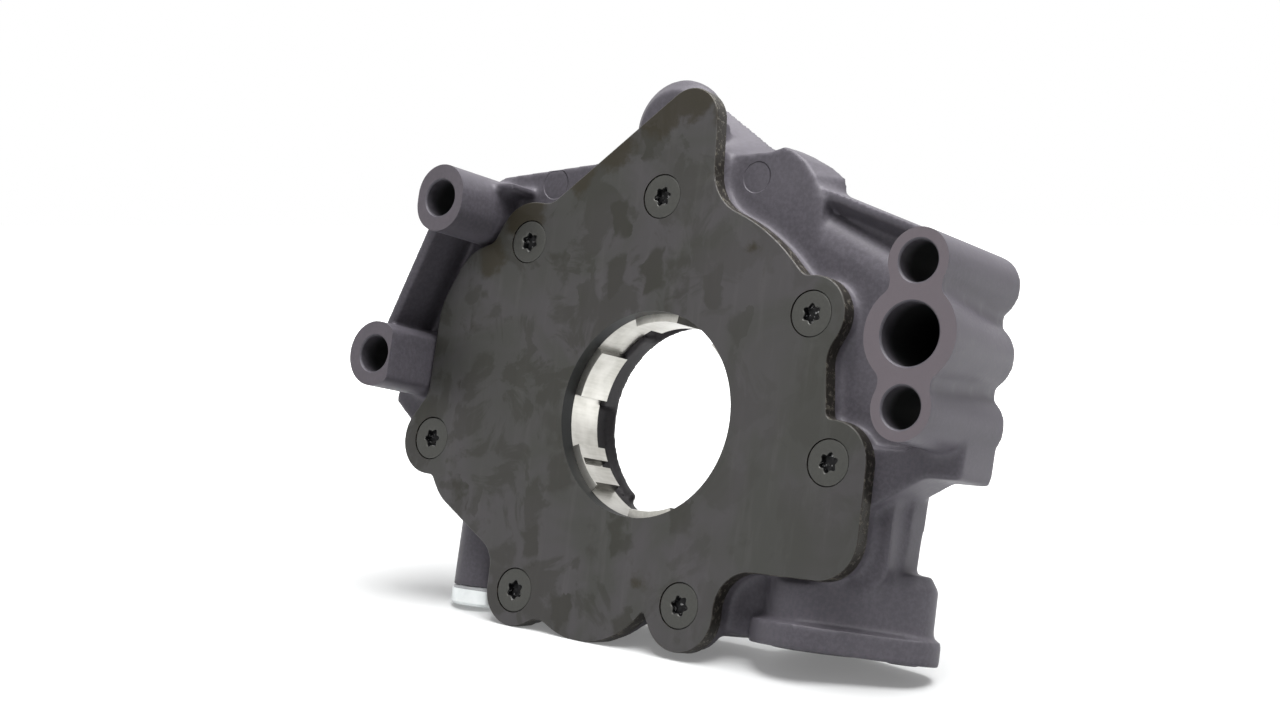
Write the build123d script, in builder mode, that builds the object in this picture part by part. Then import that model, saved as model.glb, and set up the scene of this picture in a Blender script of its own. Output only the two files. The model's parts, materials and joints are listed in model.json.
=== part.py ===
from build123d import *

import math
import os

# Engine oil pump: a gerotor pair round the crankshaft, in a die-cast housing closed by a steel cover.
# Frame: +X to the right and +Z up when the cover faces the viewer, +Y from the cover through the pump.
# The origin is the crank axis on the cover's outer face. All sizes are in millimetres.

# Depths along Y
cover_thickness = 4.5
rotor_width = 12.0
rotor_end_play = 0.05
back_wall = 7.4
web_set_back = 3.5
web_thickness = 7.0
mount_standoff = 18.0

seat_y = cover_thickness
floor_y = seat_y + rotor_width + 2 * rotor_end_play
back_y = floor_y + back_wall
web_y = seat_y + web_set_back
web_back_y = web_y + web_thickness
chamber_front_y = 2 * seat_y
mount_y = -mount_standoff

# Crank bore and rotors, all worked out from the circle of the outer rotor's lobes
inner_teeth = 11
outer_teeth = inner_teeth + 1
lobe_circle_r = 42.0
lobe_rim = 1.0
drive_depth = 13.4
land_height = 2.2
inner_web = 3.31
eccentricity = 2.4
tip_clearance = 0.09
rotor_running_gap = 0.08
root_clearance = 0.1
crank_clearance = 0.05
outer_rotor_r = lobe_circle_r + lobe_rim
drive_major_r = lobe_circle_r - drive_depth
drive_minor_r = drive_major_r - land_height
crank_bore_r = drive_major_r + crank_clearance
lobe_r = drive_depth - inner_web - eccentricity - tip_clearance
cavity_r = lobe_circle_r - lobe_r + 2 * eccentricity + root_clearance
drive_lands = 6
drive_land_angle = 30.0
drive_land_start = 141.5
drive_slot_width = 2.2
drive_slot_angles = (212.6, 231.0)
points_per_tooth = 32

pocket_r = outer_rotor_r + rotor_running_gap
outer_centre = (-eccentricity, 0.0)

# Cover screws, M6 countersunk with a six-lobed socket
screw_places = {
    "A": (-3.6, 60.8),
    "B": (-49.4, 47.1),
    "C": (-76.6, -12.5),
    "D": (-37.2, -52.9),
    "E": (20.0, -50.3),
    "F": (60.6, -8.5),
    "G": (49.9, 29.9),
}
screw_r = 2.9
screw_length = 16.0
screw_head_r = 6.15
screw_head_land = 0.7
socket_r = 2.1
socket_lobe_r = 0.62
socket_lobe_circle_r = 2.14
socket_depth = 2.4
thread_gap = 0.1
head_gap = 0.2
tapping_allowance = 2.0

# Mounting holes, M8 clearance, and the oil outlet between two of them
mount_hole_r = 5.33
upper_left = (-69.9, 56.2)
lower_left = (-87.4, 9.6)
pad_x = 90.15
pad_hole_z = 23.5
pad_hole_spacing = 36.2
outlet_r = 8.0
boss_r = 8.6
boss_stretch = 1.3
lower_boss_r = 9.6
boss_back_y = 17.0
cover_clearance = 0.6
pad_lobe_r = 8.45
pad_port_r = 13.0
pad_port_back_r = 9.0
pad_neck_width = 14.6
pad_neck_back_width = 9.4
pad_back_y = 21.5
outlet_depth = 33.0

pad_top = (pad_x, pad_hole_z + pad_hole_spacing / 2)
pad_bottom = (pad_x, pad_hole_z - pad_hole_spacing / 2)
outlet = (pad_x, pad_hole_z)
pad_length = pad_back_y - mount_y

# Pickup flange, which faces down
pickup_centre = (53.0, 17.0)
pickup_r = 10.0
pickup_collar_r = 17.4
pickup_bolt = (78.0, 20.0)
pickup_bolt_r = 2.6
pickup_bolt_depth = 16.0
pickup_ear_r = 9.2
pickup_face_z = -56.8
flange_thickness = 6.4
bolt_column_r = 7.0
bolt_column_top = -34.0
column_bevel = 2.2
column_bevel_height = 3.5
flange_ledge = 3.2
collar_wall = 3.6
collar_top = -38.0
pickup_depth = 28.0
chamber_floor_z = pickup_face_z + pickup_depth - 2.2
passage_wall_top = pickup_face_z + pickup_depth + 2.5

flange_top_z = pickup_face_z + flange_thickness

# Pressure relief valve, in an upright bore
relief_x = -59.4
relief_y = 14.0
relief_boss_r = 9.6
relief_boss_bottom = -54.2
relief_bore_r = 7.05
relief_bore_top = -12.0
piston_r = 7.0
piston_length = 16.0
piston_wall = 1.6
spring_mean_r = 4.4
spring_wire_r = 0.75
spring_turns = 5
plug_thread_r = 7.9
plug_thread_length = 9.0
plug_thread_gap = 0.08
plug_end_gap = 0.3
plug_head_r = 9.9
plug_head_height = 4.6
plug_socket_across = 8.0
plug_socket_depth = 5.5
seal_thickness = 0.8
seal_inner_r = 8.2
seal_outer_r = 9.5
relief_port_r = 3.4

piston_top = relief_bore_top
relief_ways = [
    (Vector(-32.0, floor_y + 1.5, 15.0), Vector(relief_x, relief_y, relief_bore_top - 1.0)),
    (Vector(-32.0, floor_y + 1.5, -16.0), Vector(relief_x, relief_y, relief_bore_top - piston_length - 4.0)),
]
plug_shoulder = relief_boss_bottom - seal_thickness
plug_top = plug_shoulder + seal_thickness + plug_thread_length
spring_bottom = plug_top
spring_top = piston_top - piston_wall * 2

# Cast outline features that other pieces don't share
peak_boss = (-7.0, 81.9)
peak_boss_r = 14.4
peak_flat_edge = [(-33.7, 102.7), (4.1, 79.7)]
peak_flat_far = [(19.7, 105.3), (-18.1, 128.3)]
channel_depth = 6.0
passage_r = 9.0
passage_y = web_y + passage_r + 0.2
passage_start = Vector(39.8, passage_y, 52.7)
passage_end = Vector(pad_x - 10, passage_y, pad_hole_z + 10.7)
case_inset = 0.8
core_wall = 4.0
bulge_centre = (-12.5, -39.0)
bulge_r = 25.0
edge_round = 0.5
rib_width = 4.0
hub_bore_r = drive_major_r + 2.4
hub_r = hub_bore_r + 6
hub_height = 2.0
bore_lip_r = drive_minor_r + 0.9
bore_lip_thickness = 1.8
bore_relief_r = drive_major_r + 1.2
bore_tab = (124.0, 175.0)
bore_gap = (234.0, 262.0)
peak_back_y = 13.5
peak_cone_centre = (-8.5, 82.4)
peak_cone_front_y = 6.0
peak_cone_depth = 4.0
slope_back_y = 20.0
peak_cut = [(4.0, 101.0), (4.0, 84.0), (7.5, 75.2), (20.0, 75.2), (20.0, 101.0)]
block_back_y = 19.0
block_left_x = 27.0
peak_left_x = -24.0
thin_bottom_z = 70.0
kidney_inner_r = lobe_circle_r - 10
kidney_outer_r = lobe_circle_r - 3
kidney_angles = [(22, 158), (202, 338)]
edge_wall_front = -9.0
edge_wall_bottom = (lower_left[0] - 8.5, lower_left[1] + 3.4)
edge_wall_top = (upper_left[0] - 7.8, upper_left[1] + 3.2)
edge_wall_width = 3.0
boss_rib = (upper_left[0] + 7.7, upper_left[1] + 6.7)
boss_rib_size = (12.4, 2.2)
boss_rib_length = 11.0
wall_set_back = 1.0
channel_y = web_y + channel_depth
wall_y = web_y + wall_set_back
wall_foot = [(38.0, 67.5, 1.0), (72.4, 56.0, 3.0), (90.0, 50.5, 1.0), (88.0, 45.0, 1.0), (38.0, 61.8, 1.0)]
gallery_start = Vector(28.0, floor_y + 2.2, 24.0)
gallery_end = Vector(pad_x + 1.5, floor_y - 3.9, pad_hole_z)
gallery_r = 2.0


def facing_front(depth):
    """The sketch plane at a depth along Y, seen from the cover's side: x is X and y is Z."""
    return Plane.XZ.offset(-depth)


def lobe(centre, radius, *normals):
    """Corners of the outline round a boss: where neighbouring tangents of its circle meet."""
    corners = []
    for first, last in zip(normals, normals[1:]):
        middle = math.radians((first + last) / 2)
        reach = radius / math.cos(math.radians((last - first) / 2))
        corners.append((centre[0] + reach * math.cos(middle), centre[1] + reach * math.sin(middle), radius))
    return corners


def limited_radii(corners):
    """Each corner's fillet radius, cut back where two fillets would meet on one side."""
    count = len(corners)
    tangents = []
    for i, (x, z, radius) in enumerate(corners):
        before = corners[i - 1]
        after = corners[(i + 1) % count]
        turn = math.atan2(after[1] - z, after[0] - x) - math.atan2(z - before[1], x - before[0])
        turn = abs((turn + math.pi) % (2 * math.pi) - math.pi)
        tangents.append(radius * math.tan(turn / 2))
    radii = []
    for i, (x, z, radius) in enumerate(corners):
        share = 1.0
        for other in (i - 1, (i + 1) % count):
            side = math.dist((x, z), corners[other][:2])
            share = min(share, 0.98 * side / max(tangents[i] + tangents[other], 1e-9))
        radii.append(radius * share)
    return radii


def rounded_face(corners):
    """A filled outline in the open sketch, from corners of (x, z, fillet radius)."""
    with BuildLine() as outline:
        FilletPolyline(*[(x, z) for x, z, _ in corners], radius=limited_radii(corners), close=True)
    make_face(outline.edges())


def kidney(inner_r, outer_r, first_angle, last_angle):
    """A kidney-shaped face round the crank axis, in the open sketch."""
    with BuildLine() as outline:
        outside = CenterArc((0, 0), outer_r, first_angle, last_angle - first_angle)
        inside = CenterArc((0, 0), inner_r, first_angle, last_angle - first_angle)
        Line(outside @ 0, inside @ 0)
        Line(outside @ 1, inside @ 1)
    make_face(outline.edges())


# The cover's outline, clockwise from its peak: round bosses at six of the screws and a bulge below
cover_corners = [
    (10.4, 100.4, 9.4),
    (13.9, 60.0, 14.0),
    (33.2, 52.5, 58.0),
    (46.2, 40.1, 4.0),
    *lobe(screw_places["G"], 10.3, 92, 32, -28),
    (56.1, 19.7, 9.0),
    (58.4, 2.8, 2.0),
    *lobe(screw_places["F"], 11.2, 90, 0),
    (72.4, -38.8, 11.5),
    (30.2, -39.2, 11.0),
    *lobe((screw_places["E"][0], screw_places["E"][1] - 1.0), 11.4, 2, -90, -145),
    (8.25, -53.1, 0.8),
    *lobe(bulge_centre, bulge_r, -37, -118),
    (-27.5, -59.3, 6.0),
    *lobe(screw_places["D"], 10.2, -62, -121, -180),
    (-47.6, -43.0, 8.0),
    (-70.5, -29.2, 15.0),
    (-74.6, -23.2, 2.0),
    *lobe(screw_places["C"], 10.8, -95, -175, -215),
    (-80.4, 0.5, 8.0),
    (-80.2, 27.5, 20.0),
    (-71.8, 43.8, 14.0),
    (-62.9, 46.6, 4.0),
    *lobe(screw_places["B"], 11.8, 152, 85),
    (-42.9, 58.4, 6.0),
]


# Cover plate
with BuildPart() as cover_plate:
    with BuildSketch(facing_front(0)):
        rounded_face(cover_corners)
    extrude(amount=-cover_thickness)
    front_rim = cover_plate.faces().sort_by(Axis.Y)[0].outer_wire()
    fillet(front_rim.edges(), radius=edge_round)
    with BuildSketch(facing_front(0)):
        Circle(crank_bore_r)
    extrude(amount=-cover_thickness, mode=Mode.SUBTRACT)
    head_hole_r = screw_head_r + head_gap
    shank_hole_r = screw_r + head_gap
    for place in screw_places.values():
        with BuildSketch(facing_front(0)):
            with Locations(place):
                Circle(shank_hole_r)
        extrude(amount=-cover_thickness, mode=Mode.SUBTRACT)
        with BuildSketch(facing_front(0)):
            with Locations(place):
                Circle(head_hole_r)
        extrude(amount=-screw_head_land, mode=Mode.SUBTRACT)
        with BuildSketch(facing_front(screw_head_land)):
            with Locations(place):
                Circle(head_hole_r)
        extrude(amount=-(head_hole_r - shank_hole_r), taper=45, mode=Mode.SUBTRACT)

# Cover screws, one node each
cover_screws = {}
for number, place in enumerate(screw_places.values(), start=1):
    with BuildPart() as cover_screw:
        with BuildSketch(facing_front(head_gap / 2)):
            with Locations(place):
                Circle(screw_head_r)
        extrude(amount=-(screw_head_land - head_gap / 2))
        with BuildSketch(facing_front(screw_head_land)):
            with Locations(place):
                Circle(screw_head_r)
        extrude(amount=-(screw_head_r - screw_r), taper=45)
        with BuildSketch(facing_front(screw_head_land)):
            with Locations(place):
                Circle(screw_r)
        extrude(amount=-(screw_length - screw_head_land))
        with BuildSketch(facing_front(0)):
            with Locations(place):
                Circle(socket_r)
                with PolarLocations(socket_lobe_circle_r, 6):
                    Circle(socket_lobe_r)
        extrude(amount=-socket_depth, mode=Mode.SUBTRACT)
    cover_screws[f"cover_screw_{number}"] = cover_screw

# Outer rotor: a ring with one cavity more than the inner rotor has teeth
with BuildPart() as outer_rotor:
    with BuildSketch(facing_front(seat_y + rotor_end_play)):
        with Locations(outer_centre):
            Circle(outer_rotor_r)
            Circle(cavity_r, mode=Mode.SUBTRACT)
    extrude(amount=-rotor_width)
    with BuildSketch(facing_front(seat_y + rotor_end_play)):
        with Locations(outer_centre):
            with PolarLocations(lobe_circle_r, outer_teeth):
                Circle(lobe_r)
            Circle((outer_rotor_r + cavity_r) / 2, mode=Mode.INTERSECT)
    extrude(amount=-rotor_width)


def inner_rotor_points():
    """The inner rotor's flank: the path of an outer lobe's centre, moved inwards by the lobe's radius."""
    points = []
    count = inner_teeth * points_per_tooth
    for step in range(count):
        turn = 2 * math.pi * step / count
        x = lobe_circle_r * math.cos(turn) - eccentricity * math.cos(outer_teeth * turn)
        z = lobe_circle_r * math.sin(turn) - eccentricity * math.sin(outer_teeth * turn)
        along_x = -lobe_circle_r * math.sin(turn) + eccentricity * outer_teeth * math.sin(outer_teeth * turn)
        along_z = lobe_circle_r * math.cos(turn) - eccentricity * outer_teeth * math.cos(outer_teeth * turn)
        inwards = (lobe_r + tip_clearance) / math.hypot(along_x, along_z)
        points.append((x - along_z * inwards, z + along_x * inwards))
    return points


# Inner rotor: driven by the crank through the lands in its bore
with BuildPart() as inner_rotor:
    with BuildSketch(facing_front(seat_y + rotor_end_play)):
        with BuildLine():
            Spline(*inner_rotor_points(), periodic=True)
        make_face()
        Circle(drive_major_r, mode=Mode.SUBTRACT)
    extrude(amount=-rotor_width)
    with BuildSketch(facing_front(seat_y + rotor_end_play)):
        for land in range(drive_lands):
            start = drive_land_start + land * 360 / drive_lands
            kidney(drive_minor_r, drive_major_r + 0.5, start, start + drive_land_angle)
    extrude(amount=-rotor_width)
    with BuildSketch(facing_front(seat_y + 2 * rotor_end_play + edge_round)):
        for angle in drive_slot_angles:
            with PolarLocations((drive_major_r + drive_minor_r) / 2 - 1, 1, start_angle=angle):
                Rectangle(drive_major_r - drive_minor_r + 2, drive_slot_width)
        Circle(drive_major_r + 0.5, mode=Mode.INTERSECT)
    extrude(amount=-rotor_width, mode=Mode.SUBTRACT)


# Housing
with BuildPart() as housing:
    # Case round the rotors, under the cover
    with BuildSketch(facing_front(seat_y)):
        rounded_face(cover_corners)
        offset(amount=-case_inset, kind=Kind.INTERSECTION)
    extrude(amount=-(back_y - seat_y))
    with BuildSketch(facing_front(seat_y)):
        with BuildLine() as beside_peak:
            Polyline(*peak_cut, close=True)
        make_face(beside_peak.edges())
    extrude(amount=-(back_y - seat_y), mode=Mode.SUBTRACT)

    # Web to the left, with its upright edge between the two bosses
    with BuildSketch(facing_front(web_y)):
        rounded_face([
            (-70.0, 68.0, 6.0),
            (-34.7, 72.2, 3.0),
            (-15.0, 74.0, 3.0),
            (0.0, 30.0, 3.0),
            (-60.0, -20.0, 3.0),
            (-92.0, -8.5, 3.0),
            (-101.0, -1.5, 2.0),
            (-97.5, 10.0, 6.0),
            (-78.5, 60.0, 8.0),
        ])
    extrude(amount=-web_thickness)
    with BuildSketch(facing_front(edge_wall_front)):
        rounded_face([
            (*edge_wall_bottom, 0.6),
            (*edge_wall_top, 0.6),
            (edge_wall_top[0] + edge_wall_width, edge_wall_top[1] - 1, 0.6),
            (edge_wall_bottom[0] + edge_wall_width, edge_wall_bottom[1] - 1, 0.6),
        ])
    extrude(amount=-(web_back_y - edge_wall_front))

    # Boss behind the cover's peak: a cone on the right, a flat on the left of a slanting edge
    with BuildSketch(facing_front(peak_cone_front_y)):
        with Locations(peak_cone_centre):
            Circle(peak_boss_r - peak_cone_depth)
    with BuildSketch(facing_front(peak_cone_front_y + peak_cone_depth)):
        with Locations(peak_cone_centre):
            Circle(peak_boss_r)
    loft()
    with BuildSketch(facing_front(peak_cone_front_y + peak_cone_depth)):
        with Locations(peak_cone_centre):
            Circle(peak_boss_r)
    extrude(amount=-(peak_back_y - peak_cone_front_y - peak_cone_depth))
    with BuildSketch(facing_front(web_y)):
        with Locations(peak_boss):
            Circle(peak_boss_r)
        with BuildLine() as above_edge:
            Polyline(*peak_flat_edge, *peak_flat_far, close=True)
        make_face(above_edge.edges(), mode=Mode.SUBTRACT)
    extrude(amount=-(peak_back_y - web_y))

    # Web to the right of the peak, ending in a block whose front edge is cut back
    with BuildSketch(facing_front(web_y)):
        rounded_face([
            (9.0, 74.4, 1.0),
            (19.5, 73.6, 6.0),
            (28.5, 76.4, 1.5),
            (34.0, 73.0, 1.0),
            (41.2, 64.4, 1.0),
            (44.2, 62.6, 0.8),
            (44.2, 51.2, 1.5),
            (pad_x - 4, passage_end.Z - 2.3, 2.0),
            (pad_x - 4, pad_bottom[1] - 9.4, 2.0),
            (50.0, -4.0, 2.0),
            (40.0, 20.0, 3.0),
            (0.0, 50.0, 3.0),
        ])
    extrude(amount=-(pad_back_y - web_y))
    with BuildSketch(facing_front(web_y)):
        rounded_face([
            (24.0, 74.8, 0.5),
            (29.6, 76.6, 1.0),
            (32.8, 75.4, 0.6),
            (36.4, 72.9, 0.6),
            (40.2, 68.6, 1.0),
            (42.2, 64.4, 0.5),
            (24.0, 60.0, 1.0),
        ])
    with BuildSketch(facing_front(block_back_y)):
        rounded_face([
            (24.0, 75.6, 0.5),
            (28.0, 77.7, 1.0),
            (33.6, 75.6, 0.8),
            (39.7, 72.7, 0.8),
            (43.9, 69.8, 1.0),
            (45.2, 63.0, 0.5),
            (24.0, 60.0, 1.0),
        ])
    loft()

    # Wall from the block to the pad's top over a channel, the channel's floor, and the web below
    with BuildSketch(facing_front(wall_y)):
        rounded_face([
            (38.0, 67.2, 0.9),
            (72.4, 55.9, 3.0),
            (90.0, 50.4, 0.9),
            (89.0, 48.0, 0.9),
            (38.0, 64.6, 0.9),
        ])
    with BuildSketch(facing_front(channel_y)):
        rounded_face(wall_foot)
    loft()
    with BuildSketch(facing_front(channel_y)):
        rounded_face(wall_foot)
    extrude(amount=-(pad_back_y - channel_y))
    with BuildSketch(facing_front(channel_y)):
        rounded_face([
            (36.0, 65.0, 1.5),
            (88.0, 49.5, 3.0),
            (92.0, 4.0, 3.0),
            (90.0, -9.0, 2.0),
            (86.5, -9.3, 2.0),
            (70.0, -19.5, 3.0),
            (40.0, -19.5, 3.0),
        ])
    extrude(amount=-(pad_back_y - channel_y))

    # Oil passage between the case and the pad: its round back is the channel's lower side
    passage = passage_end - passage_start
    with BuildSketch(Plane(origin=passage_start, z_dir=passage)):
        Circle(passage_r)
    extrude(amount=passage.length)

    # Pad with two bolt bosses and the outlet between them
    with BuildSketch(facing_front(mount_y)):
        with Locations(pad_top, pad_bottom):
            Circle(pad_lobe_r)
    extrude(amount=-pad_length)
    with BuildSketch(facing_front(mount_y)):
        with Locations(outlet):
            Circle(pad_port_r)
    extrude(amount=-pad_length, taper=math.degrees(math.atan((pad_port_r - pad_port_back_r) / pad_length)))
    with BuildSketch(facing_front(mount_y)):
        with Locations(outlet):
            Rectangle(pad_neck_width, pad_hole_spacing)
    neck_draft = (pad_neck_width - pad_neck_back_width) / 2 / pad_length
    extrude(amount=-pad_length, taper=math.degrees(math.atan(neck_draft)))
    with BuildSketch(facing_front(seat_y)):
        rounded_face([
            (97.4, 8.0, 1.0),
            (96.5, -9.6, 1.5),
            (86.4, -9.6, 2.0),
            (71.5, -18.8, 2.0),
            (60.0, -18.8, 1.0),
            (60.0, -3.0, 1.0),
            (80.0, -3.0, 2.0),
        ])
    extrude(amount=-(pad_back_y - seat_y))

    # Left bosses
    with BuildSketch(facing_front(mount_y)):
        with Locations(upper_left):
            SlotCenterToCenter(2 * boss_stretch, 2 * boss_r, rotation=90)
    extrude(amount=-(boss_back_y - mount_y))
    with BuildSketch(facing_front(mount_y)):
        with Locations(lower_left):
            Circle(lower_boss_r)
    extrude(amount=-(boss_back_y - mount_y))
    with BuildSketch(facing_front(web_y - boss_rib_length)):
        with Locations(boss_rib):
            Rectangle(*boss_rib_size)
    extrude(amount=-boss_rib_length)

    # Chamber wall right of the case, down to the pickup flange
    with BuildSketch(facing_front(chamber_front_y)):
        rounded_face([
            (76.4, -12.0, 1.0),
            (76.4, -36.0, 8.0),
            (68.0, -45.0, 5.0),
            (66.0, flange_top_z - 1, 1.0),
            (37.0, pickup_face_z + 1, 1.0),
            (22.0, pickup_face_z + 1, 2.0),
            (36.0, -20.0, 1.0),
        ])
    extrude(amount=-(back_y - chamber_front_y))
    with BuildSketch(facing_front(web_back_y + 1)):
        rounded_face([
            (78.4, -12.0, 1.0),
            (77.0, -33.0, 1.0),
            (77.0, flange_top_z - 1, 1.0),
            (50.0, flange_top_z - 1, 1.0),
            (50.0, -12.0, 1.0),
        ])
    extrude(amount=-(back_y - web_back_y - 1))
    with BuildSketch(Plane.XY.offset(pickup_face_z)):
        with Locations(pickup_centre):
            Circle(pickup_r + collar_wall)
    extrude(amount=passage_wall_top - pickup_face_z)
    with BuildSketch(Plane.XY.offset(pickup_face_z)):
        with Locations(pickup_bolt):
            Circle(bolt_column_r)
    extrude(amount=bolt_column_top - column_bevel_height - pickup_face_z)
    with BuildSketch(Plane.XY.offset(bolt_column_top - column_bevel_height)):
        with Locations(pickup_bolt):
            Circle(bolt_column_r)
    with BuildSketch(Plane.XY.offset(bolt_column_top)):
        with Locations(pickup_bolt):
            Circle(bolt_column_r - column_bevel)
    loft()
    with BuildSketch(Plane.XY.offset(pickup_face_z)):
        with Locations(pickup_centre):
            Circle(pickup_collar_r - flange_ledge)
        with Locations(pickup_bolt):
            Circle(bolt_column_r - 0.3)
        make_hull()
    extrude(amount=collar_top - pickup_face_z)
    with BuildSketch(Plane.XY.offset(pickup_face_z)):
        with Locations(pickup_centre):
            Circle(pickup_collar_r)
        with Locations(pickup_bolt):
            Circle(pickup_ear_r)
        make_hull()
    extrude(amount=flange_thickness)

    # Boss of the relief valve
    with BuildSketch(Plane.XY.offset(relief_boss_bottom)):
        with Locations((relief_x, relief_y)):
            Circle(relief_boss_r)
    extrude(amount=relief_bore_top + 8 - relief_boss_bottom)

    # Hub and ribs on the side away from the cover
    with BuildSketch(facing_front(back_y - 1)):
        Circle(hub_r)
    extrude(amount=-(hub_height + 1))
    relief_foot = (relief_x, relief_boss_bottom + relief_boss_r)
    rib_ends = [upper_left, lower_left, pad_top, pad_bottom, peak_boss, relief_foot]
    for end in rib_ends:
        reach = math.hypot(*end) - boss_r
        with BuildSketch(facing_front(boss_back_y - 2)):
            with Locations(Location((0, 0), math.degrees(math.atan2(end[1], end[0])))):
                Rectangle(reach, rib_width, align=(Align.MIN, Align.CENTER))
        extrude(amount=-(back_y - boss_back_y + 2))

    # Case behind the peak and the block, which is thinner than the rest
    with BuildSketch(facing_front(peak_back_y)):
        with Locations((block_left_x, thin_bottom_z)):
            Rectangle(block_left_x - peak_left_x, 40.0, align=(Align.MAX, Align.MIN))
    extrude(amount=-(back_y + hub_height - peak_back_y), mode=Mode.SUBTRACT)
    with BuildSketch(facing_front(block_back_y)):
        with Locations((block_left_x, thin_bottom_z)):
            Rectangle(40.0, 40.0, align=(Align.MIN, Align.MIN))
    extrude(amount=-(back_y + hub_height - block_back_y), mode=Mode.SUBTRACT)

    # Wall that slopes up and back from the web to the right of the peak
    with BuildSketch(facing_front(web_y)):
        rounded_face([
            (-8.0, 78.0, 2.0),
            (-2.0, 76.4, 2.0),
            (14.0, 74.2, 2.0),
            (26.5, 75.4, 1.0),
            (30.0, 55.0, 2.0),
            (-12.0, 50.0, 2.0),
        ])
    with BuildSketch(facing_front(slope_back_y)):
        rounded_face([
            (-8.0, 91.0, 3.0),
            (-2.0, 92.4, 3.0),
            (18.4, 79.0, 2.0),
            (25.0, 75.8, 1.0),
            (30.0, 55.0, 2.0),
            (-12.0, 50.0, 2.0),
        ])
    loft()

    # Underside behind the cover, level with the pickup flange's face
    with BuildSketch(facing_front(chamber_front_y)):
        with Locations((0.0, pickup_face_z)):
            Rectangle(80.0, 20.0, align=(Align.CENTER, Align.MAX))
    extrude(amount=-(back_y - chamber_front_y), mode=Mode.SUBTRACT)

    # Room for the cover, so that it lifts straight off past the bosses
    with BuildSketch(facing_front(mount_y)):
        rounded_face(cover_corners)
        offset(amount=cover_clearance, kind=Kind.INTERSECTION)
    extrude(amount=-(seat_y - mount_y), mode=Mode.SUBTRACT)

    # Rotor pocket and crank bore, with a tab and a thin lip that reach inwards behind the rotor
    with BuildSketch(facing_front(seat_y)):
        with Locations(outer_centre):
            Circle(pocket_r)
    extrude(amount=-(floor_y - seat_y), mode=Mode.SUBTRACT)
    with BuildSketch(facing_front(floor_y)):
        Circle(bore_lip_r)
        kidney(bore_lip_r - 1, bore_relief_r, bore_tab[1], bore_tab[0] + 360)
    extrude(amount=-(back_y - bore_lip_thickness - floor_y), mode=Mode.SUBTRACT)
    with BuildSketch(facing_front(back_y - bore_lip_thickness)):
        Circle(bore_lip_r)
        kidney(bore_lip_r - 1, bore_relief_r, *bore_gap)
    extrude(amount=-bore_lip_thickness, mode=Mode.SUBTRACT)
    with BuildSketch(facing_front(back_y)):
        Circle(hub_bore_r)
    extrude(amount=-hub_height, mode=Mode.SUBTRACT)
    with BuildSketch(facing_front(floor_y)):
        for angles in kidney_angles:
            kidney(kidney_inner_r, kidney_outer_r, *angles)
    extrude(amount=-core_wall, mode=Mode.SUBTRACT)

    # Outlet bore, and the passage to it from the upper kidney
    with BuildSketch(facing_front(mount_y)):
        with Locations(outlet):
            Circle(outlet_r)
    extrude(amount=-outlet_depth, mode=Mode.SUBTRACT)
    with BuildSketch(Plane(origin=gallery_start, z_dir=gallery_end - gallery_start)):
        Circle(gallery_r)
    extrude(amount=(gallery_end - gallery_start).length, mode=Mode.SUBTRACT)

    # Mounting holes
    with BuildSketch(facing_front(mount_y)):
        with Locations(upper_left, lower_left, pad_top, pad_bottom):
            Circle(mount_hole_r)
    extrude(amount=-(back_y + 4 - mount_y), mode=Mode.SUBTRACT)

    # Pickup bore, its chamber under the cover and the threaded hole beside it
    with BuildSketch(Plane.XY.offset(pickup_face_z)):
        with Locations(pickup_centre):
            Circle(pickup_r)
    extrude(amount=pickup_depth, mode=Mode.SUBTRACT)
    with BuildSketch(facing_front(seat_y)):
        rounded_face([
            (66.0, -20.0, 4.0),
            (66.0, chamber_floor_z, 5.0),
            (40.0, chamber_floor_z, 4.0),
            (46.0, -18.0, 4.0),
        ])
    extrude(amount=-(floor_y - seat_y + core_wall), mode=Mode.SUBTRACT)
    with BuildSketch(Plane.XY.offset(pickup_face_z)):
        with Locations(pickup_bolt):
            Circle(pickup_bolt_r)
    extrude(amount=pickup_bolt_depth, mode=Mode.SUBTRACT)

    # Oil ways from the kidneys to the relief bore
    for kidney_point, bore_point in relief_ways:
        with BuildSketch(Plane(origin=kidney_point, z_dir=bore_point - kidney_point)):
            Circle(relief_port_r)
        extrude(amount=(bore_point - kidney_point).length, mode=Mode.SUBTRACT)

    # Relief bore and the plug's thread
    with BuildSketch(Plane.XY.offset(relief_boss_bottom)):
        with Locations((relief_x, relief_y)):
            Circle(relief_bore_r)
    extrude(amount=relief_bore_top - relief_boss_bottom, mode=Mode.SUBTRACT)
    with BuildSketch(Plane.XY.offset(relief_boss_bottom)):
        with Locations((relief_x, relief_y)):
            Circle(plug_thread_r + plug_thread_gap)
    extrude(amount=plug_thread_length + plug_end_gap, mode=Mode.SUBTRACT)

    # Tapped holes for the cover screws
    with BuildSketch(facing_front(seat_y)):
        with Locations(*screw_places.values()):
            Circle(screw_r + thread_gap)
    extrude(amount=-(screw_length - seat_y + tapping_allowance), mode=Mode.SUBTRACT)

# Relief valve
with BuildPart() as relief_piston:
    with BuildSketch(Plane.XY.offset(piston_top)):
        with Locations((relief_x, relief_y)):
            Circle(piston_r)
    extrude(amount=-piston_length)
    with BuildSketch(Plane.XY.offset(piston_top - piston_length)):
        with Locations((relief_x, relief_y)):
            Circle(piston_r - piston_wall)
    extrude(amount=piston_length - 2 * piston_wall, mode=Mode.SUBTRACT)

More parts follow.
